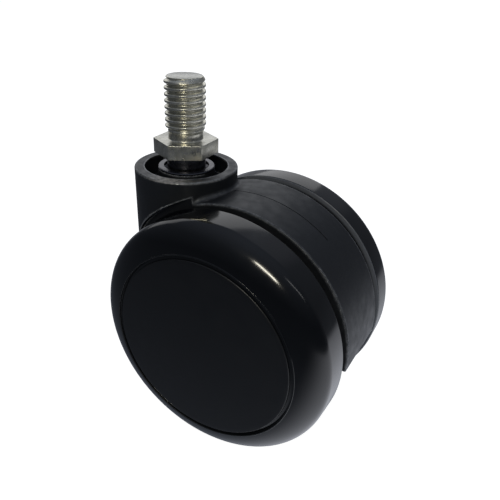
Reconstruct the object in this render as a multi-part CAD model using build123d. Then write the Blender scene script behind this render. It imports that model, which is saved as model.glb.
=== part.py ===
from build123d import *
from math import asin, cos, pi, radians, sin, sqrt
import os

# Twin-wheel furniture caster with a threaded stem.
#
# Frame: the origin is on the stem's axis at the mounting shoulder, which is the
# upper face of the hexagon. +Z runs up the stem, +X runs from the stem towards
# the axle, and the axle is parallel to Y. Millimetres throughout.

# ---- driving dimensions: stem -------------------------------------------------
thread_diameter = 10.0
thread_pitch = 1.5
stem_length = 15.0
undercut_diameter = 8.5
undercut_length = 2.3
hex_across_flats = 14.0
hex_height = 3.6
hex_turn = 3.2              # degrees from the X axis to the nearest flat's normal
neck_diameter = 9.6
stem_depth = 28.5           # from the shoulder down to the tip of the domed end
dome_radius = 14.0

# ---- driving dimensions: swivel ------------------------------------------------
collar_diameter = 26.0
collar_top = -6.9
collar_wall = 2.5
pocket_depth = 4.6          # annular pocket between the collar and the inner boss
boss_diameter = 14.3
sleeve_bore = 9.7
sleeve_diameter = 12.4
sleeve_bottom = -22.5
flange_thickness = 0.5
lead_in_radius = 5.7        # counterbore at the sleeve's top
lead_in_depth = 0.8
ring_wire = 1.4             # snap ring's wire
ring_gap_angle = 35.0
ring_drop = 0.3             # free play between the sleeve and the snap ring
disc_thickness = 1.5
disc_gap = 0.05             # between the domed end and the thrust disc

# ---- driving dimensions: housing -----------------------------------------------
axle_x = 20.0
axle_z = -41.5
hood_radius = 31.3
hood_half_width = 9.8
hood_thickness = 2.6
hood_rear_angle = -5.0      # about the axle, up from +X
hood_front_angle = 150.0
web_front_angle = 172.0
hood_edge_round = 0.4
column_bottom = -38.0
column_round = 2.5
wheel_arch_radius = 33.0    # underside of the collar, over the wheels
web_half_thickness = 3.2
axle_boss_diameter = 16.0
rib_thickness = 2.0
rib_half_width = 4.6        # low ribs on both sides of the web
rib_angles = [15.0, 45.0, 75.0, 105.0]
seam_width = 0.25           # fine mould seam along the middle of the hood
seam_depth = 0.2
seam_rear_angle = 51.0
collar_fillet = 1.0

# ---- driving dimensions: wheels ------------------------------------------------
wheel_radius = 31.3         # at the tread's inner edge
shoulder_radius = 31.1      # where the running surface meets the shoulder
tread_inner = 12.6          # distance of the wheel's inner side from the middle
tread_flat_end = 18.55
wheel_outer = 24.7
shoulder_height = 13.05     # radial half-axis of the shoulder's ellipse
tread_edge_round = 0.8
lip_round = 0.2
groove_outer_radius = 24.6  # shallow channel round the cover
groove_depth = 0.6
cover_radius = 23.4
cover_gap = 0.05
cover_crown = 0.55
cover_thickness = 1.5
cover_edge_round = 0.35
skirt_thickness = 1.1
core_rim_inner = 24.2
core_rim_outer = 26.8
core_rim_inner_side = 12.9
core_rim_outer_side = 21.8
core_web_inner = 18.5
core_web_outer = 20.5
hub_diameter = 17.0
hub_inner_side = 10.4
hub_outer_side = 21.0
bush_diameter = 11.0
core_rib_count = 8
core_rib_thickness = 1.6
core_rib_inner_side = 14.0

# ---- driving dimensions: axle and its washers -----------------------------------
axle_diameter = 8.0
axle_half_length = 22.4
axle_chamfer = 0.5
axle_clearance = 0.05       # radial running fit in the bush
thrust_washer_diameter = 15.0
thrust_washer_thickness = 0.5
lock_washer_diameter = 15.0
lock_washer_thickness = 0.6
lock_washer_gap = 0.15
lock_tooth_count = 8
lock_tooth_slot = 1.0
lock_tooth_root_diameter = 10.6

# ---- frames --------------------------------------------------------------------
axle_point = Vector(axle_x, 0, axle_z)
side_plane = Plane(origin=axle_point, x_dir=(1, 0, 0), z_dir=(0, -1, 0))
axle_axis = Axis(axle_point, (0, -1, 0))
collar_radius = collar_diameter / 2
sleeve_radius = sleeve_diameter / 2


def radial_plane(angle):
    """Plane through the axle: local x is radial, local y is the Y axis."""
    turn = radians(angle)
    return Plane(
        origin=axle_point,
        x_dir=(cos(turn), 0, sin(turn)),
        z_dir=(-sin(turn), 0, cos(turn)),
    )


def turned(points, axis=Axis.Z, arc=360.0, plane=Plane.XZ):
    """Solid of revolution from a closed outline of straight lines."""
    return revolve(plane * make_face(Polyline(*points, close=True)), axis, arc)


def rod(radius, low, high):
    """Upright cylinder on the stem's axis between two heights."""
    return Pos(0, 0, (low + high) / 2) * Cylinder(radius, high - low)


def cross_rod(radius, low, high):
    """Cylinder on the axle's axis between two values of Y."""
    return extrude(side_plane.offset(-low) * Circle(radius), low - high)


# ---- stem ------------------------------------------------------------------------
def make_threaded_stem():
    """Spigot with ridges at the thread's pitch, hexagon, neck and domed pin."""
    crest = thread_diameter / 2
    root = crest - 0.6134 * thread_pitch
    crest_flat = thread_pitch / 8
    flank = (thread_pitch - crest_flat - thread_pitch / 4) / 2
    undercut = undercut_diameter / 2
    outline = [(0, -hex_height), (undercut, -hex_height), (undercut, undercut_length)]
    ridge_count = int((stem_length - undercut_length) / thread_pitch)
    first_crest = undercut_length + 0.1 + flank + crest_flat / 2
    for index in range(ridge_count):
        middle = first_crest + index * thread_pitch
        outline.append((root, middle - crest_flat / 2 - flank))
        outline.append((crest, middle - crest_flat / 2))
        outline.append((crest, middle + crest_flat / 2))
        outline.append((root, middle + crest_flat / 2 + flank))
    outline.append((root + 0.2, stem_length))
    outline.append((0, stem_length))
    spigot = turned(outline)

    hexagon = RegularPolygon(hex_across_flats / 2, 6, major_radius=False, rotation=hex_turn + 30)
    hexagon = extrude(Pos(0, 0, -hex_height) * hexagon, hex_height)
    corner_round = turned([
        (0, 0),
        (hex_across_flats / 2 + 0.45, 0),
        (hex_across_flats / 2 + 1.3, -0.5),
        (hex_across_flats / 2 + 1.3, 0.5 - hex_height),
        (hex_across_flats / 2 + 0.45, -hex_height),
        (0, -hex_height),
    ])
    hexagon = hexagon & corner_round

    pin = rod(neck_diameter / 2, -stem_depth, -hex_height)
    dome = Pos(0, 0, dome_radius - stem_depth) * Sphere(dome_radius)
    pin = pin & (dome + rod(neck_diameter, -stem_depth / 2, 0))
    groove_middle = snap_ring_height()
    groove = rod(neck_diameter, groove_middle - ring_wire / 2, groove_middle + ring_wire / 2)
    groove = groove - rod(snap_ring_radius() - ring_wire / 2, -stem_depth, 0)
    return spigot + hexagon + (pin - groove)


def snap_ring_height():
    return sleeve_bottom - ring_drop - ring_wire / 2


def snap_ring_radius():
    """Radius of the middle of the snap ring's wire."""
    return neck_diameter / 2


def make_snap_ring():
    """Split ring of round wire, seated in the groove of the pin."""
    wire = Pos(snap_ring_radius(), snap_ring_height()) * Circle(ring_wire / 2)
    ring = revolve(Plane.XZ * wire, Axis.Z, 360 - ring_gap_angle)
    return Rot(0, 0, 180 + ring_gap_angle / 2) * ring


# ---- swivel ------------------------------------------------------------------------
def make_stem_sleeve():
    """Flanged steel sleeve that the neck turns in, opened out at its top."""
    bore = sleeve_bore / 2
    flange = boss_diameter / 2
    bevel = 0.2
    return turned([
        (bore, sleeve_bottom),
        (sleeve_radius, sleeve_bottom),
        (sleeve_radius, collar_top - flange_thickness),
        (flange, collar_top - flange_thickness),
        (flange, collar_top - bevel),
        (flange - bevel, collar_top),
        (lead_in_radius, collar_top),
        (lead_in_radius, collar_top - lead_in_depth),
        (bore, collar_top - 2 * lead_in_depth),
    ])


def socket_floor():
    return -stem_depth - disc_gap - disc_thickness


def make_thrust_disc():
    """Hardened disc at the bottom of the socket, under the domed end."""
    disc = rod(sleeve_radius - 0.1, socket_floor(), socket_floor() + disc_thickness)
    return chamfer(disc.edges().filter_by(GeomType.CIRCLE), 0.2)


def make_housing():
    """Collar, column, hood, web, ribs and axle boss in one moulding."""
    section = Rectangle(hood_thickness, 2 * hood_half_width)
    section = Pos(hood_radius - hood_thickness / 2, 0) * section
    outer_corners = section.vertices().group_by(Axis.X)[-1]
    section = fillet(outer_corners, hood_edge_round)
    hood = revolve(
        radial_plane(hood_rear_angle) * section,
        axle_axis,
        hood_front_angle - hood_rear_angle,
    )

    collar = rod(collar_radius, column_bottom, collar_top)
    collar = fillet(collar.edges().group_by(Axis.Z)[0], column_round)
    rim_edges = collar.edges().group_by(Axis.Z)[-1]
    collar = fillet(rim_edges, 0.4)
    sides = Box(60, 60, 80) - Box(80, 2 * hood_half_width, 90)
    arch = Pos(axle_x, 0, axle_z) * (Rot(90, 0, 0) * Cylinder(wheel_arch_radius, 80))
    collar = collar - (arch & sides)

    inner_radius = hood_radius - hood_thickness / 2
    web = Circle(inner_radius)
    rear = radians(hood_rear_angle)
    front = radians(web_front_angle)
    boss_radius = axle_boss_diameter / 2
    below = Polygon(
        (2 * inner_radius, inner_radius * sin(rear)),
        (inner_radius * cos(rear), inner_radius * sin(rear)),
        (boss_radius * 0.7, -boss_radius * 0.7),
        (-boss_radius * 0.7, -boss_radius * 0.7),
        (inner_radius * cos(front), inner_radius * sin(front)),
        (-2 * inner_radius, inner_radius * sin(front)),
        (-2 * inner_radius, -2 * inner_radius),
        (2 * inner_radius, -2 * inner_radius),
        align=None,
    )
    web = extrude(side_plane * (web - below), web_half_thickness, both=True)
    boss = cross_rod(boss_radius, -hood_half_width, hood_half_width)

    rib_length = hood_radius - hood_thickness - boss_radius + 1.0
    rib_middle = (hood_radius - hood_thickness + boss_radius) / 2
    rib = Pos(rib_middle, 0) * Rectangle(rib_length, rib_thickness)
    ribs = [
        extrude(side_plane * (Rot(0, 0, angle) * rib), rib_half_width, both=True)
        for angle in rib_angles
    ]

    body = hood + web + boss + collar
    for each in ribs:
        body = body + each
    body = fillet(collar_seam_edges(body), collar_fillet)

    seam = Pos(hood_radius, 0) * Rectangle(2 * seam_depth, seam_width)
    seam_arc = seam_front_angle() - seam_rear_angle
    body = body - revolve(radial_plane(seam_rear_angle) * seam, axle_axis, seam_arc)

    pocket_floor = collar_top - pocket_depth
    pocket = rod(collar_radius - collar_wall, pocket_floor, collar_top + 1)
    pocket = pocket - rod(boss_diameter / 2, pocket_floor - 1, collar_top + 2)
    flange_seat = rod(boss_diameter / 2 + 0.1, collar_top - flange_thickness, collar_top + 1)
    socket = rod(sleeve_radius, socket_floor(), collar_top + 1)
    bore = cross_rod(axle_diameter / 2, -30, 30)
    return body - pocket - flange_seat - socket - bore


def seam_front_angle():
    """Angle about the axle where the hood's middle meets the collar."""
    reach = axle_x - collar_radius - collar_fillet
    return 90 + 180 / pi * (reach / hood_radius)


def collar_seam_edges(body):
    """Edges where the hood's outer surface runs into the collar's side."""
    found = []
    for edge in body.edges():
        middle = edge.position_at(0.5)
        from_stem = sqrt(middle.X ** 2 + middle.Y ** 2)
        from_axle = sqrt((middle.X - axle_x) ** 2 + (middle.Z - axle_z) ** 2)
        on_collar = abs(from_stem - collar_radius) < 0.02
        on_hood = abs(from_axle - hood_radius) < 0.02
        if on_collar and on_hood and middle.X > 0:
            found.append(edge)
    return found


# ---- axle and washers ----------------------------------------------------------------
def make_axle():
    """Plain pin, pressed through the housing's boss."""
    pin = cross_rod(axle_diameter / 2, -axle_half_length, axle_half_length)
    return chamfer(pin.edges().filter_by(GeomType.CIRCLE), axle_chamfer)


def make_thrust_washer(side):
    start = side * hood_half_width
    end = start + side * thrust_washer_thickness
    low, high = sorted([start, end])
    bore = axle_diameter / 2 + axle_clearance
    return cross_rod(thrust_washer_diameter / 2, low, high) - cross_rod(bore, -30, 30)


def make_lock_washer(side):
    """Push-on washer whose teeth grip the end of the axle."""
    start = side * (hub_outer_side + lock_washer_gap)
    end = start + side * lock_washer_thickness
    low, high = sorted([start, end])
    washer = cross_rod(lock_washer_diameter / 2, low, high)
    washer = washer - cross_rod(axle_diameter / 2, -30, 30)
    slot_length = lock_tooth_root_diameter / 2
    slot = Pos(slot_length / 2, 0) * Rectangle(slot_length, lock_tooth_slot)
    for index in range(lock_tooth_count):
        turn = index * 360 / lock_tooth_count
        washer = washer - extrude(side_plane * (Rot(0, 0, turn) * slot), 30, both=True)
    return washer


# ---- wheels ----------------------------------------------------------------------------
def wheel_turned(outline, side):
    """Revolve an outline given as (radius, distance from the middle)."""
    face = Plane(origin=axle_point, x_dir=(1, 0, 0), z_dir=(0, 0, 1)) * make_face(outline)
    solid = revolve(face, axle_axis)
    if side < 0:
        solid = mirror(solid, Plane.XZ)
    return solid


def round_rim(solid, radius, distance, amount):
    """Round the circular edge at a radius and a distance from the middle."""
    rims = [
        edge for edge in solid.edges().filter_by(GeomType.CIRCLE)
        if abs(edge.radius - radius) < 0.01 and abs(edge.center().Y - distance) < 0.01
    ]
    return fillet(rims, amount)


def shoulder_side(radius):
    """Distance of the shoulder's surface from the middle at a given radius."""
    reach = wheel_outer - tread_flat_end
    rise = (radius - (shoulder_radius - shoulder_height)) / shoulder_height
    return tread_flat_end + reach * sqrt(1 - rise * rise)


def make_tread(side):
    """Tyre: flat running surface, elliptical shoulder and a lip at the groove."""
    reach = wheel_outer - tread_flat_end
    lip_side = shoulder_side(groove_outer_radius)
    ledge_radius = cover_radius + cover_gap
    lip_angle = 180 / pi * asin((lip_side - tread_flat_end) / reach)
    shoulder = EllipticalCenterArc(
        (shoulder_radius - shoulder_height, tread_flat_end),
        shoulder_height,
        reach,
        0,
        arc_size=lip_angle,
    )
    outline = Curve() + [
        Polyline(
            (groove_outer_radius, lip_side),
            (groove_outer_radius, lip_side - groove_depth),
            (ledge_radius, shoulder_side(ledge_radius) - groove_depth),
            (ledge_radius, core_rim_outer_side),
            (core_rim_outer, core_rim_outer_side),
            (core_rim_outer, tread_inner),
            (wheel_radius, tread_inner),
            (shoulder_radius, tread_flat_end),
        ),
        shoulder,
    ]
    tread = wheel_turned(outline, side)
    tread = round_rim(tread, wheel_radius, side * tread_inner, tread_edge_round)
    return round_rim(tread, groove_outer_radius, side * lip_side, lip_round)


def make_cover(side):
    """Crowned disc with a skirt that snaps into the core."""
    rim_side = wheel_outer - cover_crown
    under = wheel_outer - cover_thickness
    skirt = cover_radius - skirt_thickness
    outline = Curve() + [
        TangentArc((0, wheel_outer), (cover_radius, rim_side), tangent=(1, 0)),
        Polyline(
            (0, wheel_outer),
            (0, under),
            (skirt, under - cover_crown),
            (skirt, core_web_outer),
            (cover_radius, core_web_outer),
            (cover_radius, rim_side),
        ),
    ]
    cover = wheel_turned(outline, side)
    return round_rim(cover, cover_radius, side * rim_side, cover_edge_round)


def make_core(side):
    """Nylon wheel centre: hub, web with stiffening ribs, and rim."""
    hub = hub_diameter / 2
    bush = bush_diameter / 2
    outline = Polyline(
        (bush, hub_inner_side),
        (hub, hub_inner_side),
        (hub, core_web_inner),
        (core_rim_inner, core_web_inner),
        (core_rim_inner, core_rim_inner_side),
        (core_rim_outer, core_rim_inner_side),
        (core_rim_outer, core_rim_outer_side),
        (core_rim_inner, core_rim_outer_side),
        (core_rim_inner, core_web_outer),
        (hub, core_web_outer),
        (hub, hub_outer_side),
        (bush, hub_outer_side),
        close=True,
    )
    core = wheel_turned(outline, side)
    rib_length = core_rim_inner - hub + 0.6
    rib = Pos((core_rim_inner + hub) / 2, 0) * Rectangle(rib_length, core_rib_thickness)
    rib_depth = core_web_inner - core_rib_inner_side + 0.5
    rib_plane = side_plane.offset(-side * core_rib_inner_side)
    for index in range(core_rib_count):
        turn = index * 360 / core_rib_count
        core = core + extrude(rib_plane * (Rot(0, 0, turn) * rib), -side * rib_depth)
    return core


def make_bush(side):
    low, high = sorted([side * hub_inner_side, side * hub_outer_side])
    bore = axle_diameter / 2 + axle_clearance
    return cross_rod(bush_diameter / 2, low, high) - cross_rod(bore, -30, 30)


# ---- write every piece -------------------------------------------------------------------
parts = {
    "threaded_stem": make_threaded_stem(),
    "snap_ring": make_snap_ring(),
    "stem_sleeve": make_stem_sleeve(),
    "thrust_disc": make_thrust_disc(),
    "housing": make_housing(),
    "axle": make_axle(),
}
for name, side in (("left", -1), ("right", 1)):
    parts[name + "_tread"] = make_tread(side)
    parts[name + "_wheel_core"] = make_core(side)
    parts[name + "_wheel_cover"] = make_cover(side)
    parts[name + "_hub_bush"] = make_bush(side)
    parts[name + "_thrust_washer"] = make_thrust_washer(side)
    parts[name + "_lock_washer"] = make_lock_washer(side)

os.makedirs("parts", exist_ok=True)
for name, shape in parts.items():
    export_step(shape, "parts/" + name + ".step")
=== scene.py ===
"""Looks of a twin-wheel furniture caster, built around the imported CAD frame."""
import math
import bmesh
import bpy
from mathutils import Matrix, Vector


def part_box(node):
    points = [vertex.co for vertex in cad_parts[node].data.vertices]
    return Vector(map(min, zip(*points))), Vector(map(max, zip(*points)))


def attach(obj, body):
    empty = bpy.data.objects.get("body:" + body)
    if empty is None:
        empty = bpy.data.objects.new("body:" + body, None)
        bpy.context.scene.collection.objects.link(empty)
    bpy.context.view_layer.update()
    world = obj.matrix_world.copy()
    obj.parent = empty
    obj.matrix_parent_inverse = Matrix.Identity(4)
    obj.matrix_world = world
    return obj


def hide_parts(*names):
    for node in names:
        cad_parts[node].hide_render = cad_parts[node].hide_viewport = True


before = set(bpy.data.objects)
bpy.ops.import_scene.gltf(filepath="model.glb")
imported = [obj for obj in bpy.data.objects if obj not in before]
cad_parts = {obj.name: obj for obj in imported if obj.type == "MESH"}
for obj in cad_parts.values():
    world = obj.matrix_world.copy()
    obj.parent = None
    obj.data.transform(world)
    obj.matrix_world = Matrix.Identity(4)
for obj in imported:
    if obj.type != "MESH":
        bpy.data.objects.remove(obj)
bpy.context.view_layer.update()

MM = 0.001


# ---- places, from the frame ---------------------------------------------------------
def centre(node):
    low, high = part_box(node)
    return (low + high) / 2


axle_centre = centre("axle")
ring_centre = centre("snap_ring")
tread_low, tread_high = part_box("right_tread")
cover_low, cover_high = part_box("right_wheel_cover")
core_low, core_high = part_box("right_wheel_core")
stem_low, stem_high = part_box("threaded_stem")
housing_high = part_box("housing")[1]

# ---- sizes in millimetres; heights are from the hexagon's upper face --------------------
stem_top = stem_high.z / MM
stem_bottom = stem_low.z / MM
thread_diameter = 10.0
thread_pitch = 1.5
thread_depth = 0.74
thread_runout = 1.5
thread_chamfer_height = 1.1
thread_chamfer_depth = 0.7
end_face_round = 0.06
undercut_diameter = 8.5
undercut_length = 1.7
undercut_fillet = 0.25
hex_across_flats = 14.0
hex_height = 3.6
hex_edge_round = 0.12
hex_corner_round = 0.12
neck_diameter = 9.6
neck_fillet = 0.2
snap_ring_wire = 1.4
snap_groove_chamfer = 0.05
wheel_radius = (tread_high.x - tread_low.x) / 2 / MM
wheel_outer = cover_high.y / MM
shoulder_radius = 31.1
shoulder_height = 13.05
tread_inner = tread_low.y / MM
tread_flat_end = 18.55
tread_bore_round = 0.1
tread_edge_round = 0.4
groove_outer_radius = 24.6
groove_depth = 0.45
groove_slope = 0.05
groove_round = 0.1
bead_width = 0.35
bead_height = 0.14
bead_slope = 0.03
bead_round = 0.12
core_rim_radius = (core_high.x - core_low.x) / 2 / MM
core_rim_side = 21.8
cover_radius = (cover_high.x - cover_low.x) / 2 / MM
cover_gap = 0.05
cover_crown = 0.55
cover_thickness = 1.5
cover_skirt = 1.1
cover_skirt_round = 0.1
cover_edge_round = 0.3
collar_top = housing_high.z / MM
collar_rim_round = 0.4
# Place of the painted glint on the collar rim's front, in millimetres.
rim_glint_place = (2.9, -11.1, 0.0)

# ---- angles and shares --------------------------------------------------------------------
hex_turn = math.radians(3.2)
crest_share = 0.24
flank_share = 0.70
straight_share = 0.35
crown_share = 0.985
# the stem's domed end: share of the neck's radius, and millimetres above its lowest point
stem_dome = ((1.0, 1.1), (0.97, 0.85), (0.7, 0.4))


# ---- mesh helpers ----------------------------------------------------------------------
def add_object(name, vertices, faces, sharp_angle=35.0):
    """Make a smooth-shaded mesh object whose creases above an angle stay sharp."""
    mesh = bpy.data.meshes.new(name)
    mesh.from_pydata([tuple(v) for v in vertices], [], faces)
    mesh.validate()
    mesh.shade_smooth()
    mesh.set_sharp_from_angle(angle=math.radians(sharp_angle))
    piece = bpy.data.objects.new(name, mesh)
    bpy.context.scene.collection.objects.link(piece)
    return piece


def merge_poles(piece):
    """Join the points that meet on the axis of a turned mesh."""
    cage = bmesh.new()
    cage.from_mesh(piece.data)
    bmesh.ops.remove_doubles(cage, verts=cage.verts, dist=1e-7)
    bmesh.ops.recalc_face_normals(cage, faces=cage.faces)
    cage.to_mesh(piece.data)
    cage.free()


def rounded(corners, steps=6):
    """Closed outline from (radius, side, rounding) corners; rounding 0 stays sharp."""
    outline = []
    count = len(corners)
    for index, (x, y, fillet) in enumerate(corners):
        here = Vector((x, y))
        if fillet == 0:
            outline.append(here)
            continue
        before = (Vector(corners[index - 1][:2]) - here).normalized()
        after = (Vector(corners[(index + 1) % count][:2]) - here).normalized()
        half = before.angle(after) / 2
        reach = fillet / math.tan(half)
        middle = here + (before + after).normalized() * (fillet / math.sin(half))
        start = here + before * reach - middle
        end = here + after * reach - middle
        for step in range(steps + 1):
            turn = start.slerp(end, step / steps)
            outline.append(middle + turn.normalized() * fillet)
    return outline


def lathe(name, outline, side=1, segments=256):
    """Closed outline of (radius, distance from the middle), turned about the axle."""
    rings = len(outline)
    vertices = []
    for segment in range(segments):
        turn = 2 * math.pi * segment / segments
        for radius, away in outline:
            offset = Vector((radius * math.cos(turn), side * away, radius * math.sin(turn)))
            vertices.append(Vector((axle_centre.x, 0, axle_centre.z)) + offset * MM)
    faces = []
    for segment in range(segments):
        following = (segment + 1) % segments
        for ring in range(rings):
            outer = (ring + 1) % rings
            quad = (
                segment * rings + ring,
                segment * rings + outer,
                following * rings + outer,
                following * rings + ring,
            )
            faces.append(quad if side > 0 else quad[::-1])
    piece = add_object(name, vertices, faces)
    merge_poles(piece)
    return piece


def elliptic_shoulder(end_radius, steps=40):
    """Points on the tread's shoulder from the running surface to a radius."""
    middle = shoulder_radius - shoulder_height
    reach = wheel_outer - tread_flat_end
    end_turn = math.acos((end_radius - middle) / shoulder_height)
    points = []
    for step in range(steps + 1):
        turn = end_turn * step / steps
        radius = middle + shoulder_height * math.cos(turn)
        points.append((radius, tread_flat_end + reach * math.sin(turn)))
    return points


# ---- node helpers ------------------------------------------------------------------------
def rgba(color):
    """A colour with full opacity; a node's output stays as it is."""
    return (*color, 1) if isinstance(color, tuple) else color


def fill(tree, socket, value):
    """Link a node's output to a socket, or set the socket to a plain value."""
    if isinstance(value, bpy.types.NodeSocket):
        tree.links.new(value, socket)
    else:
        socket.default_value = value


def add_node(tree, kind, inputs, **settings):
    """Add a node; its inputs are given by name or number."""
    node = tree.nodes.new("ShaderNode" + kind)
    for name, value in settings.items():
        setattr(node, name, value)
    for key, value in inputs.items():
        fill(tree, node.inputs[key], value)
    return node


class Surface:
    """A principled material whose node tree is built up in small steps."""

    def __init__(self, name, metallic=0.0, specular=0.5):
        self.material = bpy.data.materials.new(name)
        self.material.use_nodes = True
        self.tree = self.material.node_tree
        self.shader = self.tree.nodes["Principled BSDF"]
        self.place = self.node("TexCoord", {}).outputs["Object"]
        self.normal = None
        self.give("Metallic", metallic)
        self.give("Specular IOR Level", specular)

    def node(self, kind, inputs, **settings):
        return add_node(self.tree, kind, inputs, **settings)

    def give(self, socket, value):
        """Set one of the shader's sockets to a value, or drive it by a node's output."""
        fill(self.tree, self.shader.inputs[socket], value)

    def noise(self, size_mm, detail=3.0, roughness=0.5, stretch=(1, 1, 1)):
        """Noise with grains of a size, drawn out along each axis by stretch."""
        scale = [1 / (size_mm * MM * share) for share in stretch]
        mapping = self.node("Mapping", {"Vector": self.place, "Scale": scale})
        grains = {"Scale": 1.0, "Detail": detail, "Roughness": roughness}
        grains["Vector"] = mapping.outputs["Vector"]
        return self.node("TexNoise", grains).outputs["Fac"]

    def remap(self, value, low, high, to_low, to_high):
        """Straight line from one range to another, held at its ends."""
        ranges = {"From Min": low, "From Max": high, "To Min": to_low, "To Max": to_high}
        return self.node("MapRange", {"Value": value, **ranges}).outputs["Result"]

    def ramp(self, distance, start_mm, end_mm, first=0.0, last=1.0):
        """First up to one distance in millimetres, last from the other, straight between."""
        return self.remap(distance, start_mm * MM, end_mm * MM, first, last)

    def band(self, distance, start_mm, full_mm, fade_mm, end_mm):
        """1 between two distances in millimetres, falling to 0 on both sides."""
        rise = self.ramp(distance, start_mm, full_mm)
        return self.product(rise, self.ramp(distance, fade_mm, end_mm, 1.0, 0.0))

    def mix(self, factor, first, second):
        """Blend of two colours; sockets 6 and 7 are a Mix node's colours A and B."""
        inputs = {"Factor": factor, 6: rgba(first), 7: rgba(second)}
        return self.node("Mix", inputs, data_type="RGBA").outputs[2]

    def combine(self, base, factor, amount):
        """Base plus factor times amount."""
        inputs = {0: factor, 1: amount, 2: base}
        return self.node("Math", inputs, operation="MULTIPLY_ADD").outputs["Value"]

    def product(self, *factors):
        """All factors multiplied."""
        result = factors[0]
        for factor in factors[1:]:
            node = self.node("Math", {0: result, 1: factor}, operation="MULTIPLY")
            result = node.outputs["Value"]
        return result

    def coordinate(self, axis):
        """The point's X, Y or Z in the frame."""
        return self.node("SeparateXYZ", {"Vector": self.place}).outputs[axis]

    def distance_from_middle(self):
        """Distance from the plane through the stem, across the axle."""
        node = self.node("Math", {0: self.coordinate("Y")}, operation="ABSOLUTE")
        return node.outputs["Value"]

    def distance_from_axis(self, point, keep):
        """Distance from the axis through a point; keep is 1 for the two axes measured across."""
        shift = self.node("VectorMath", {0: self.place, 1: point}, operation="SUBTRACT")
        across = {0: shift.outputs["Vector"], 1: keep}
        flat = self.node("VectorMath", across, operation="MULTIPLY")
        length = self.node("VectorMath", {0: flat.outputs["Vector"]}, operation="LENGTH")
        return length.outputs["Value"]

    def convex_edges(self, radius_mm, spread):
        """1 on convex edges and 0 on flat stretches; a small spread reaches 1 sooner."""
        bevel = self.node("Bevel", {"Radius": radius_mm * MM}, samples=4)
        flat = self.node("NewGeometry", {})
        normals = {0: bevel.outputs["Normal"], 1: flat.outputs["Normal"]}
        dot = self.node("VectorMath", normals, operation="DOT_PRODUCT")
        return self.remap(dot.outputs["Value"], 1.0, 1.0 - spread, 0.0, 1.0)

    def bump(self, height, distance_mm, strength):
        """Add relief on top of any that the surface has already."""
        inputs = {"Height": height, "Distance": distance_mm * MM, "Strength": strength}
        if self.normal is not None:
            inputs["Normal"] = self.normal
        self.normal = self.node("Bump", inputs).outputs["Normal"]
        self.give("Normal", self.normal)


def dress(piece, surface):
    piece.data.materials.clear()
    piece.data.materials.append(surface.material)


def dress_node(node, surface):
    """Give a kept CAD node a material through its object's slots."""
    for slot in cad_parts[node].material_slots:
        slot.link = "OBJECT"
        slot.material = surface.material


# ---- materials ------------------------------------------------------------------------------
wheel_black = ((0.0016, 0.0021, 0.0029), (0.0028, 0.0034, 0.0044))


def housing_nylon():
    """Black nylon with a fine spark-eroded grain; its edges and collar rim are paler, partly from
    wear and partly as painted highlight and sheen, with a painted glint on the rim's front.
    """
    surface = Surface("housing_nylon", specular=0.56)
    broken = surface.remap(surface.noise(0.9, detail=4.0), 0.38, 0.62, 0.35, 1.0)
    beside_seam = surface.ramp(surface.distance_from_middle(), 1.5, 3.0)
    # Pale bluish lines on the convex edges: partly edge wear, partly painted highlight of the rounded
    # edges.
    edge_wear_and_highlight = surface.product(surface.convex_edges(0.7, 0.125), broken, beside_seam)
    height = surface.coordinate("Z")
    rim = collar_top - collar_rim_round
    on_rim = surface.ramp(height, rim - 0.1, rim + 0.05)
    off_face = surface.ramp(height, rim + 0.3, rim + 0.38, 1.0, 0.3)
    # A paler band round the collar rim's top: partly wear from rubbing, partly painted sheen of the
    # lamp and the stem reflected in the rim.
    rim_wear_and_sheen = surface.product(on_rim, off_face, broken)
    # A pale patch on the rim's front: painted glint.
    place = [value * MM for value in rim_glint_place]
    near_place = surface.ramp(surface.distance_from_axis(place, (1, 1, 0)), 1.5, 6.0, 1.0, 0.0)
    rim_glint = surface.product(near_place, on_rim, broken)

    patches = surface.noise(7.0, detail=4.0)
    tone = surface.mix(patches, (0.0040, 0.0046, 0.0060), (0.0070, 0.0078, 0.0095))
    matte = surface.remap(surface.noise(2.5), 0.3, 0.7, 0.44, 0.58)
    marks = (
        (rim_wear_and_sheen, (0.075, 0.073, 0.070), -0.15),
        (rim_glint, (0.38, 0.36, 0.33), -0.20),
        (edge_wear_and_highlight, (0.38, 0.40, 0.43), -0.20),
    )
    for mask, color, gloss in marks:
        tone = surface.mix(mask, tone, color)
        matte = surface.combine(matte, mask, gloss)
    surface.give("Base Color", tone)
    surface.give("Roughness", matte)
    surface.give("Specular Tint", (0.90, 0.95, 1.0, 1))
    surface.bump(surface.noise(0.30), 0.024, 0.8)
    surface.bump(surface.noise(1.4, detail=2.0), 0.02, 0.15)
    return surface


def tread_gloss():
    """Glossy black polyurethane, faintly wavy, with a duller inner edge that is painted paler as a
    highlight line.
    """
    surface = Surface("tread_gloss")
    away = surface.distance_from_middle()
    from_axle = surface.distance_from_axis(axle_centre, (1, 0, 1))
    dull_inner_edge_and_highlight = surface.product(
        surface.ramp(away, tread_inner + 0.05, tread_inner + 0.25, 1.0, 0.0),
        surface.ramp(from_axle, shoulder_radius - 1.5, shoulder_radius - 0.7),
    )
    bead = groove_outer_radius - bead_width
    bead_side = surface.band(from_axle, bead - 0.07, bead - 0.01, bead + 0.11, bead + 0.17)
    gloss = surface.remap(surface.noise(3.0, detail=5.0), 0.3, 0.75, 0.11, 0.17)
    gloss = surface.combine(gloss, bead_side, 0.40)
    surface.give("Roughness", surface.combine(gloss, dull_inner_edge_and_highlight, 0.24))
    tone = surface.mix(surface.noise(9.0), *wheel_black)
    # The inner edge's pale bluish colour is a painted highlight line; its higher roughness is real.
    surface.give("Base Color", surface.mix(dull_inner_edge_and_highlight, tone, (0.125, 0.135, 0.155)))
    surface.bump(surface.noise(5.0, detail=1.0), 0.02, 0.25)
    surface.bump(surface.noise(0.35, detail=2.0), 0.001, 0.2)
    return surface


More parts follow.
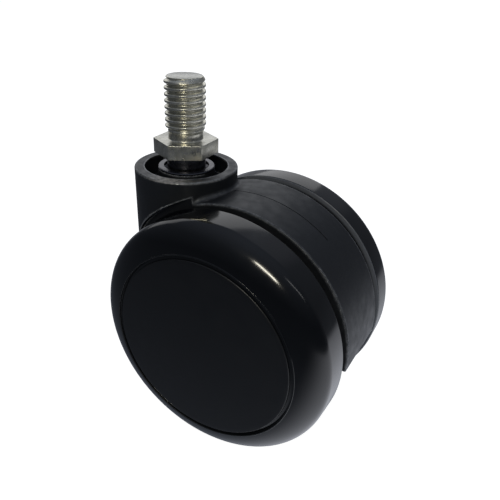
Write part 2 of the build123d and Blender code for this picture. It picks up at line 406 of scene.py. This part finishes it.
def cover_satin():
    """Satin black nylon disc."""
    surface = Surface("cover_satin")
    matte = surface.remap(surface.noise(4.0, detail=4.0), 0.3, 0.7, 0.36, 0.46)
    surface.give("Roughness", matte)
    surface.give("Base Color", surface.mix(surface.noise(6.0), *wheel_black))
    surface.bump(surface.noise(0.22, detail=2.0), 0.006, 0.5)
    return surface


def zinc_steel():
    """Bright zinc plate on thread and hexagon, scuffed and stained, with painted shade in the thread
    roots, on the end face and on the hexagon's upper face; the neck below the hexagon is dark, partly
    oil and partly painted shade.
    """
    surface = Surface("zinc_steel", metallic=1.0)
    stains = surface.remap(surface.noise(1.8, detail=6.0, roughness=0.62), 0.46, 0.72, 0.0, 1.0)
    upright = surface.noise(0.5, detail=4.0, stretch=(1, 1, 3))
    scuffs = surface.remap(upright, 0.60, 0.70, 0.0, 0.5)
    height = surface.coordinate("Z")
    root = thread_diameter / 2 - thread_depth
    from_axis = surface.distance_from_axis((0, 0, 0), (1, 1, 0))
    # Painted shade: the thread roots are darker, fading out near the undercut and near the end.
    thread_root_shade = surface.product(
        surface.ramp(from_axis, root + 0.01, root + 0.22, 1.0, 0.0),
        surface.ramp(height, undercut_length + 0.5, undercut_length + 1.7, 0.0, 0.9),
        surface.ramp(height, stem_top - 0.6, stem_top - 0.2, 1.0, 0.0),
    )
    # Painted shade: the end face is darker.
    end_face_shade = surface.ramp(height, stem_top - 0.04, stem_top - 0.01)
    # Painted shade: the hexagon's upper face is darker.
    hex_top_shade = surface.band(height, -0.06, -0.02, 0.02, 0.05)
    # Everything below the hexagon is dark: partly oil, partly painted shade under the hexagon.
    neck_oil_and_shade = surface.ramp(height, -hex_height, -hex_height - 0.05)

    plate = surface.mix(stains, (0.68, 0.66, 0.565), (0.46, 0.445, 0.36))
    coats = (
        (scuffs, (0.20, 0.20, 0.18)),
        (thread_root_shade, (0.54, 0.53, 0.45)),
        (end_face_shade, (0.42, 0.42, 0.385)),
        (hex_top_shade, surface.mix(stains, (0.56, 0.55, 0.49), (0.36, 0.35, 0.30))),
        (neck_oil_and_shade, (0.16, 0.16, 0.175)),
    )
    for mask, color in coats:
        plate = surface.mix(mask, plate, color)
    surface.give("Base Color", plate)
    matte = surface.remap(surface.noise(1.0, detail=4.0), 0.3, 0.7, 0.24, 0.38)
    surface.give("Roughness", matte)
    surface.bump(surface.noise(0.6), 0.010, 0.4)
    surface.bump(surface.noise(0.3, detail=2.0, stretch=(1, 1, 0.2)), 0.004, 0.4)
    return surface


def plain_steel(name, color, low, high):
    """Turned or ground steel with fine round tool marks; roughness from low to high."""
    surface = Surface(name, metallic=1.0)
    surface.give("Roughness", surface.remap(surface.noise(1.2, detail=4.0), 0.3, 0.7, low, high))
    darker = tuple(0.7 * c for c in color)
    surface.give("Base Color", surface.mix(surface.noise(2.0, detail=4.0), color, darker))
    surface.bump(surface.noise(0.3, stretch=(1, 1, 0.3)), 0.006, 0.5)
    return surface


def light_plastic(name, color):
    """Natural acetal or nylon with a slightly uneven tone."""
    surface = Surface(name)
    surface.give("Roughness", 0.45)
    darker = tuple(0.85 * c for c in color)
    surface.give("Base Color", surface.mix(surface.noise(2.0), color, darker))
    surface.bump(surface.noise(0.3), 0.006, 0.5)
    return surface


def core_nylon():
    """Black nylon of the wheel centre, smoother than the housing."""
    surface = Surface("core_nylon")
    surface.give("Roughness", surface.remap(surface.noise(3.0, detail=4.0), 0.3, 0.7, 0.36, 0.5))
    tone = surface.mix(surface.noise(5.0), (0.014, 0.014, 0.015), (0.022, 0.022, 0.024))
    surface.give("Base Color", tone)
    surface.bump(surface.noise(0.3), 0.008, 0.5)
    return surface


# ---- stem ----------------------------------------------------------------------------------
def thread_radius(turn, height):
    """Radius of the rolled thread's surface at an angle and a height above the shoulder."""
    phase = (height / thread_pitch - turn / (2 * math.pi)) % 1.0
    away = abs(phase - 0.5) * 2
    down = min(max((away - crest_share) / flank_share, 0.0), 1.0)
    soft = down * down * (3 - 2 * down)
    groove = thread_depth * (straight_share * down + (1 - straight_share) * soft)
    return thread_diameter / 2 - groove


def threaded_radius(height):
    """Thread at a height, cut off by the end's chamfer and running out into the undercut."""
    above = height - (stem_top - thread_chamfer_height)
    cut = max(above, 0) * thread_chamfer_depth / thread_chamfer_height
    limit = thread_diameter / 2 - cut
    runout = min(max((height - undercut_length) / thread_runout, 0.0), 1.0)
    base = undercut_diameter / 2

    def radius_at(turn):
        full = thread_radius(turn, height)
        return min(base + (full - base) * runout, limit)
    return radius_at


def hex_radius(inset):
    """Hexagon with softened corners, drawn in by an inset."""
    flat_distance = hex_across_flats / 2 - inset
    sector = math.radians(60)
    corner = flat_distance / math.cos(sector / 2)
    softened = corner - hex_corner_round * (1 / math.cos(sector / 2) - 1) * 2

    def radius_at(turn):
        offset = (turn - hex_turn + sector / 2) % sector - sector / 2
        straight = flat_distance / math.cos(offset)
        near = max(0.0, (straight - softened) / (corner - softened))
        return straight - near * near * (corner - softened) * 0.5
    return radius_at


def circle(radius):
    return lambda turn: radius


def thread_rows():
    """Rows of the thread from its end down; the thread sits a little above its rows."""
    row_step = 0.075
    lift = 0.02
    count = round((stem_top - undercut_length) / row_step)
    rows = []
    for row in range(count, -1, -1):
        height = undercut_length + (stem_top - undercut_length) * row / count
        drop = end_face_round if row == count else 0
        rows.append((threaded_radius(height - lift), height - drop))
    return rows


def hexagon_rows():
    """Rows round the hexagon's upper and lower edge."""
    quarter = [math.radians(90 * step / 4) for step in range(5)]
    rows = []
    for angle in quarter:
        inset = hex_edge_round * (1 - math.sin(angle))
        rows.append((hex_radius(inset), -hex_edge_round * (1 - math.cos(angle))))
    for angle in quarter:
        inset = hex_edge_round * (1 - math.cos(angle))
        rows.append((hex_radius(inset), -hex_height + hex_edge_round * (1 - math.sin(angle))))
    return rows


def make_stem():
    """Helical thread, hexagon with soft edges, and the plain pin with its ring groove."""
    pole = 0.0001
    end_radius = thread_diameter / 2 - thread_chamfer_depth - 0.15
    rows = [(circle(pole), stem_top), (circle(end_radius), stem_top)]
    rows += thread_rows()
    root = undercut_diameter / 2
    fillet_middle = 0.08
    rows += [
        (circle(root), undercut_fillet),
        (circle(root + fillet_middle), fillet_middle),
        (circle(root + undercut_fillet), 0.0),
    ]
    rows += hexagon_rows()
    neck = neck_diameter / 2
    half_wire = snap_ring_wire / 2
    groove_top = ring_centre.z / MM + half_wire
    groove_bottom = ring_centre.z / MM - half_wire
    rows += [
        (circle(neck + neck_fillet), -hex_height),
        (circle(neck), -hex_height - neck_fillet),
        (circle(neck), groove_top + snap_groove_chamfer),
        (circle(neck - snap_groove_chamfer), groove_top),
        (circle(neck - half_wire), groove_top),
        (circle(neck - half_wire), groove_bottom),
        (circle(neck - snap_groove_chamfer), groove_bottom),
        (circle(neck), groove_bottom - snap_groove_chamfer),
    ]
    rows += [(circle(neck * share), stem_bottom + above) for share, above in stem_dome]
    rows.append((circle(pole), stem_bottom))

    segments = 144
    vertices = []
    for radius_at, height in rows:
        for segment in range(segments):
            turn = 2 * math.pi * segment / segments
            radius = radius_at(turn)
            vertices.append(Vector((radius * math.cos(turn), radius * math.sin(turn), height)) * MM)
    faces = []
    for row in range(len(rows) - 1):
        upper = row * segments
        lower = upper + segments
        for segment in range(segments):
            following = (segment + 1) % segments
            faces.append((upper + segment, lower + segment, lower + following, upper + following))
    piece = add_object("stem", vertices, faces, sharp_angle=40.0)
    merge_poles(piece)
    return piece


# ---- wheels ----------------------------------------------------------------------------------
def make_tread(name, side):
    """Tyre with a slightly tapered running surface, an elliptical shoulder and a bead."""
    shoulder = elliptic_shoulder(groove_outer_radius)
    lip_radius, lip_side = shoulder[-1]
    bead_inner = lip_radius - bead_width
    bead_top = lip_side + bead_height
    ledge = cover_radius + cover_gap
    ledge_side = elliptic_shoulder(ledge)[-1][1] - groove_depth
    corners = [
        (core_rim_radius, tread_inner, tread_bore_round),
        (wheel_radius, tread_inner, tread_edge_round),
    ]
    corners += [(radius, away, 0) for radius, away in shoulder]
    corners += [
        (lip_radius - bead_slope, bead_top, bead_round),
        (bead_inner, bead_top, bead_round),
        (bead_inner - groove_slope, lip_side - groove_depth, groove_round),
        (ledge, ledge_side, 0),
        (ledge, core_rim_side, 0),
        (core_rim_radius, core_rim_side, 0),
    ]
    return lathe(name, rounded(corners), side)


def make_cover(name, side):
    """Crowned disc, rounded at its edge, with its snap-in skirt."""
    edge = wheel_outer - cover_crown
    under = wheel_outer - cover_thickness
    skirt_end = cover_low.y / MM
    skirt = cover_radius - cover_skirt
    sphere = (cover_radius ** 2 + cover_crown ** 2) / (2 * cover_crown)
    corners = [
        (skirt, skirt_end, 0),
        (cover_radius, skirt_end, cover_skirt_round),
        (cover_radius, edge, cover_edge_round),
    ]
    steps = 24
    for step in range(1, steps + 1):
        radius = cover_radius * crown_share * (1 - step / steps)
        drop = sphere - math.sqrt(sphere ** 2 - radius ** 2)
        corners.append((radius, wheel_outer - drop, 0))
    corners += [(0, under, 0), (skirt, under - cover_crown, 0)]
    return lathe(name, rounded(corners), side)


# ---- build the pieces ----------------------------------------------------------------------------
tread_material = tread_gloss()
cover_material = cover_satin()
core_material = core_nylon()
bush_material = light_plastic("bush_acetal", (0.75, 0.74, 0.70))
washer_material = light_plastic("washer_nylon", (0.70, 0.69, 0.64))
spring_material = plain_steel("spring_steel", (0.30, 0.30, 0.31), 0.3, 0.5)

stem = make_stem()
dress(stem, zinc_steel())
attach(stem, "stem")
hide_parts("threaded_stem")

for prefix, side in (("left", -1), ("right", 1)):
    tread = make_tread(prefix + "_tyre", side)
    dress(tread, tread_material)
    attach(tread, prefix + "_wheel")
    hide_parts(prefix + "_tread")
    cover = make_cover(prefix + "_disc", side)
    dress(cover, cover_material)
    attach(cover, prefix + "_wheel")
    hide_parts(prefix + "_wheel_cover")
    dress_node(prefix + "_wheel_core", core_material)
    dress_node(prefix + "_hub_bush", bush_material)
    dress_node(prefix + "_thrust_washer", washer_material)
    dress_node(prefix + "_lock_washer", spring_material)

dress_node("housing", housing_nylon())
dress_node("stem_sleeve", plain_steel("sleeve_steel", (0.078, 0.078, 0.088), 0.20, 0.30))
dress_node("snap_ring", spring_material)
dress_node("thrust_disc", spring_material)
dress_node("axle", plain_steel("axle_steel", (0.52, 0.52, 0.52), 0.2, 0.35))


# ---- floor, light and camera -----------------------------------------------------------------------
floor_half = 3.0
light_target = Vector((15, 0, -30)) * MM
camera_place = Vector((77.50, -106.47, 39.95)) * MM
camera_azimuth = math.radians(28.66)
camera_elevation = math.radians(28.47)
camera_roll = math.radians(2.31)
camera_lens = 38.94

# height as a share of the way from straight down to straight up, and brightness
world_levels = ((0.0, 0.20), (0.30, 0.08), (0.55, 0.06), (0.75, 0.13), (0.93, 0.28), (1.0, 0.34))
world_tint = (0.88, 0.98, 1.20)
# azimuth, elevation, inner and outer half-angle, brightness, highest elevation
world_patches = (
    (75, -48, 15, 65, 1.1, -13),
    (-28, -8, 15, 50, 0.20, 90),
    (4, 36, 6, 22, 0.12, 90),
    (38, 10, 5, 40, 0.04, 90),
)
patch_tint = (0.97, 0.99, 1.06)


def make_floor():
    """Plain pale floor, kept out of the object's reflections and light."""
    mesh = bpy.data.meshes.new("floor")
    corners = [(-floor_half, -floor_half), (floor_half, -floor_half)]
    corners += [(floor_half, floor_half), (-floor_half, floor_half)]
    mesh.from_pydata([(x, y, tread_low.z) for x, y in corners], [], [(0, 1, 2, 3)])
    floor = bpy.data.objects.new("floor", mesh)
    bpy.context.scene.collection.objects.link(floor)
    surface = Surface("floor_white", specular=0.1)
    surface.give("Base Color", (0.5, 0.5, 0.5, 1))
    surface.give("Emission Color", (1, 1, 1, 1))
    surface.give("Emission Strength", 0.92)
    surface.give("Roughness", surface.remap(surface.noise(30.0), 0.3, 0.7, 0.75, 0.85))
    dress(floor, surface)
    floor.visible_glossy = False
    floor.visible_diffuse = False
    floor.visible_transmission = False
    floor.visible_shadow = False


def toward(azimuth, elevation):
    """Unit vector; azimuth 0 is +Y and 90 is +X, in degrees."""
    turn, rise = math.radians(azimuth), math.radians(elevation)
    across = math.cos(rise)
    return Vector((math.sin(turn) * across, math.cos(turn) * across, math.sin(rise)))


def add_area_light(name, direction, distance, size, radiance, color=(1, 1, 1), spin=0.0):
    """Rectangular soft light in a direction from the object, turned by spin in degrees."""
    data = bpy.data.lights.new(name, "AREA")
    data.shape = "RECTANGLE"
    data.size, data.size_y = size
    data.energy = 4.0 * size[0] * size[1] * radiance
    data.color = color
    light = bpy.data.objects.new(name, data)
    light.location = light_target + direction * distance
    aim = (-direction).to_track_quat("-Z", "Y").to_matrix()
    light.rotation_euler = (aim @ Matrix.Rotation(math.radians(spin), 3, "Z")).to_euler()
    light.visible_camera = False
    bpy.context.scene.collection.objects.link(light)


def make_height_ramp(tree, upward):
    """Brightness of the surroundings from straight down to straight up."""
    share = add_node(tree, "MapRange", {"Value": upward, "From Min": -1.0})
    ramp = add_node(tree, "ValToRGB", {"Fac": share.outputs["Result"]})
    elements = ramp.color_ramp.elements
    elements[0].position = world_levels[0][0]
    elements[1].position = world_levels[-1][0]
    for position, _ in world_levels[1:-1]:
        elements.new(position)
    for element, (_, level) in zip(elements, world_levels):
        element.color = rgba(tuple(level * channel for channel in world_tint))
    return ramp.outputs["Color"]


def make_patch(tree, direction, upward, patch):
    """Soft round bright patch, cut off above its highest elevation."""
    azimuth, elevation, inner, outer, level, highest = patch
    vectors = {0: direction, 1: toward(azimuth, elevation)}
    facing = add_node(tree, "VectorMath", vectors, operation="DOT_PRODUCT")
    disc = add_node(tree, "MapRange", {
        "Value": facing.outputs["Value"],
        "From Min": math.cos(math.radians(outer)),
        "From Max": math.cos(math.radians(inner)),
        "To Max": level,
    }, interpolation_type="SMOOTHSTEP")
    ceiling = math.sin(math.radians(highest))
    below = add_node(tree, "MapRange", {
        "Value": upward,
        "From Min": ceiling + 0.01,
        "From Max": ceiling - 0.06,
    })
    cut = {0: disc.outputs["Result"], 1: below.outputs["Result"]}
    return add_node(tree, "Math", cut, operation="MULTIPLY").outputs["Value"]


def make_world():
    """White behind the object; dim surroundings with soft bright patches for its reflections."""
    world = bpy.data.worlds.new("studio")
    world.use_nodes = True
    tree = world.node_tree
    direction = add_node(tree, "TexCoord", {}).outputs["Generated"]
    upward = add_node(tree, "SeparateXYZ", {"Vector": direction}).outputs["Z"]
    light = make_height_ramp(tree, upward)
    for patch in world_patches:
        inputs = {0: make_patch(tree, direction, upward, patch), 1: patch_tint, 2: light}
        added = add_node(tree, "VectorMath", inputs, operation="MULTIPLY_ADD")
        light = added.outputs["Vector"]
    ambient = tree.nodes["Background"]
    tree.links.new(light, ambient.inputs["Color"])
    white = add_node(tree, "Background", {"Color": (1, 1, 1, 1)})
    seen = add_node(tree, "LightPath", {})
    shown = add_node(tree, "MixShader", {
        "Fac": seen.outputs["Is Camera Ray"],
        1: ambient.outputs["Background"],
        2: white.outputs["Background"],
    })
    tree.links.new(shown.outputs["Shader"], tree.nodes["World Output"].inputs["Surface"])
    bpy.context.scene.world = world


def make_camera():
    """Camera at the viewing angle: azimuth and elevation round the stem, with a slight roll."""
    forward = Vector((
        -math.sin(camera_azimuth) * math.cos(camera_elevation),
        math.cos(camera_azimuth) * math.cos(camera_elevation),
        -math.sin(camera_elevation),
    ))
    level = Vector((math.cos(camera_azimuth), math.sin(camera_azimuth), 0))
    upright = level.cross(forward)
    right = level * math.cos(camera_roll) + upright * math.sin(camera_roll)
    up = upright * math.cos(camera_roll) - level * math.sin(camera_roll)
    data = bpy.data.cameras.new("camera")
    data.sensor_width = 36.0
    data.lens = camera_lens
    data.clip_start = 0.01
    camera = bpy.data.objects.new("camera", data)
    bpy.context.scene.collection.objects.link(camera)
    turn = Matrix((right, up, -forward)).transposed()
    camera.matrix_world = Matrix.Translation(camera_place) @ turn.to_4x4()
    bpy.context.scene.camera = camera


make_floor()
make_world()
make_camera()
add_area_light("lamp", toward(159, 34.5), 0.5, (0.155, 0.038), 26.0, (1.0, 0.95, 0.80), -32)
add_area_light("second_lamp", toward(95, 38), 0.5, (0.20, 0.02), 2.6, spin=-48)
add_area_light("window", toward(-44, 26), 0.6, (0.86, 0.34), 0.62)
bpy.context.scene.view_settings.view_transform = "Standard"
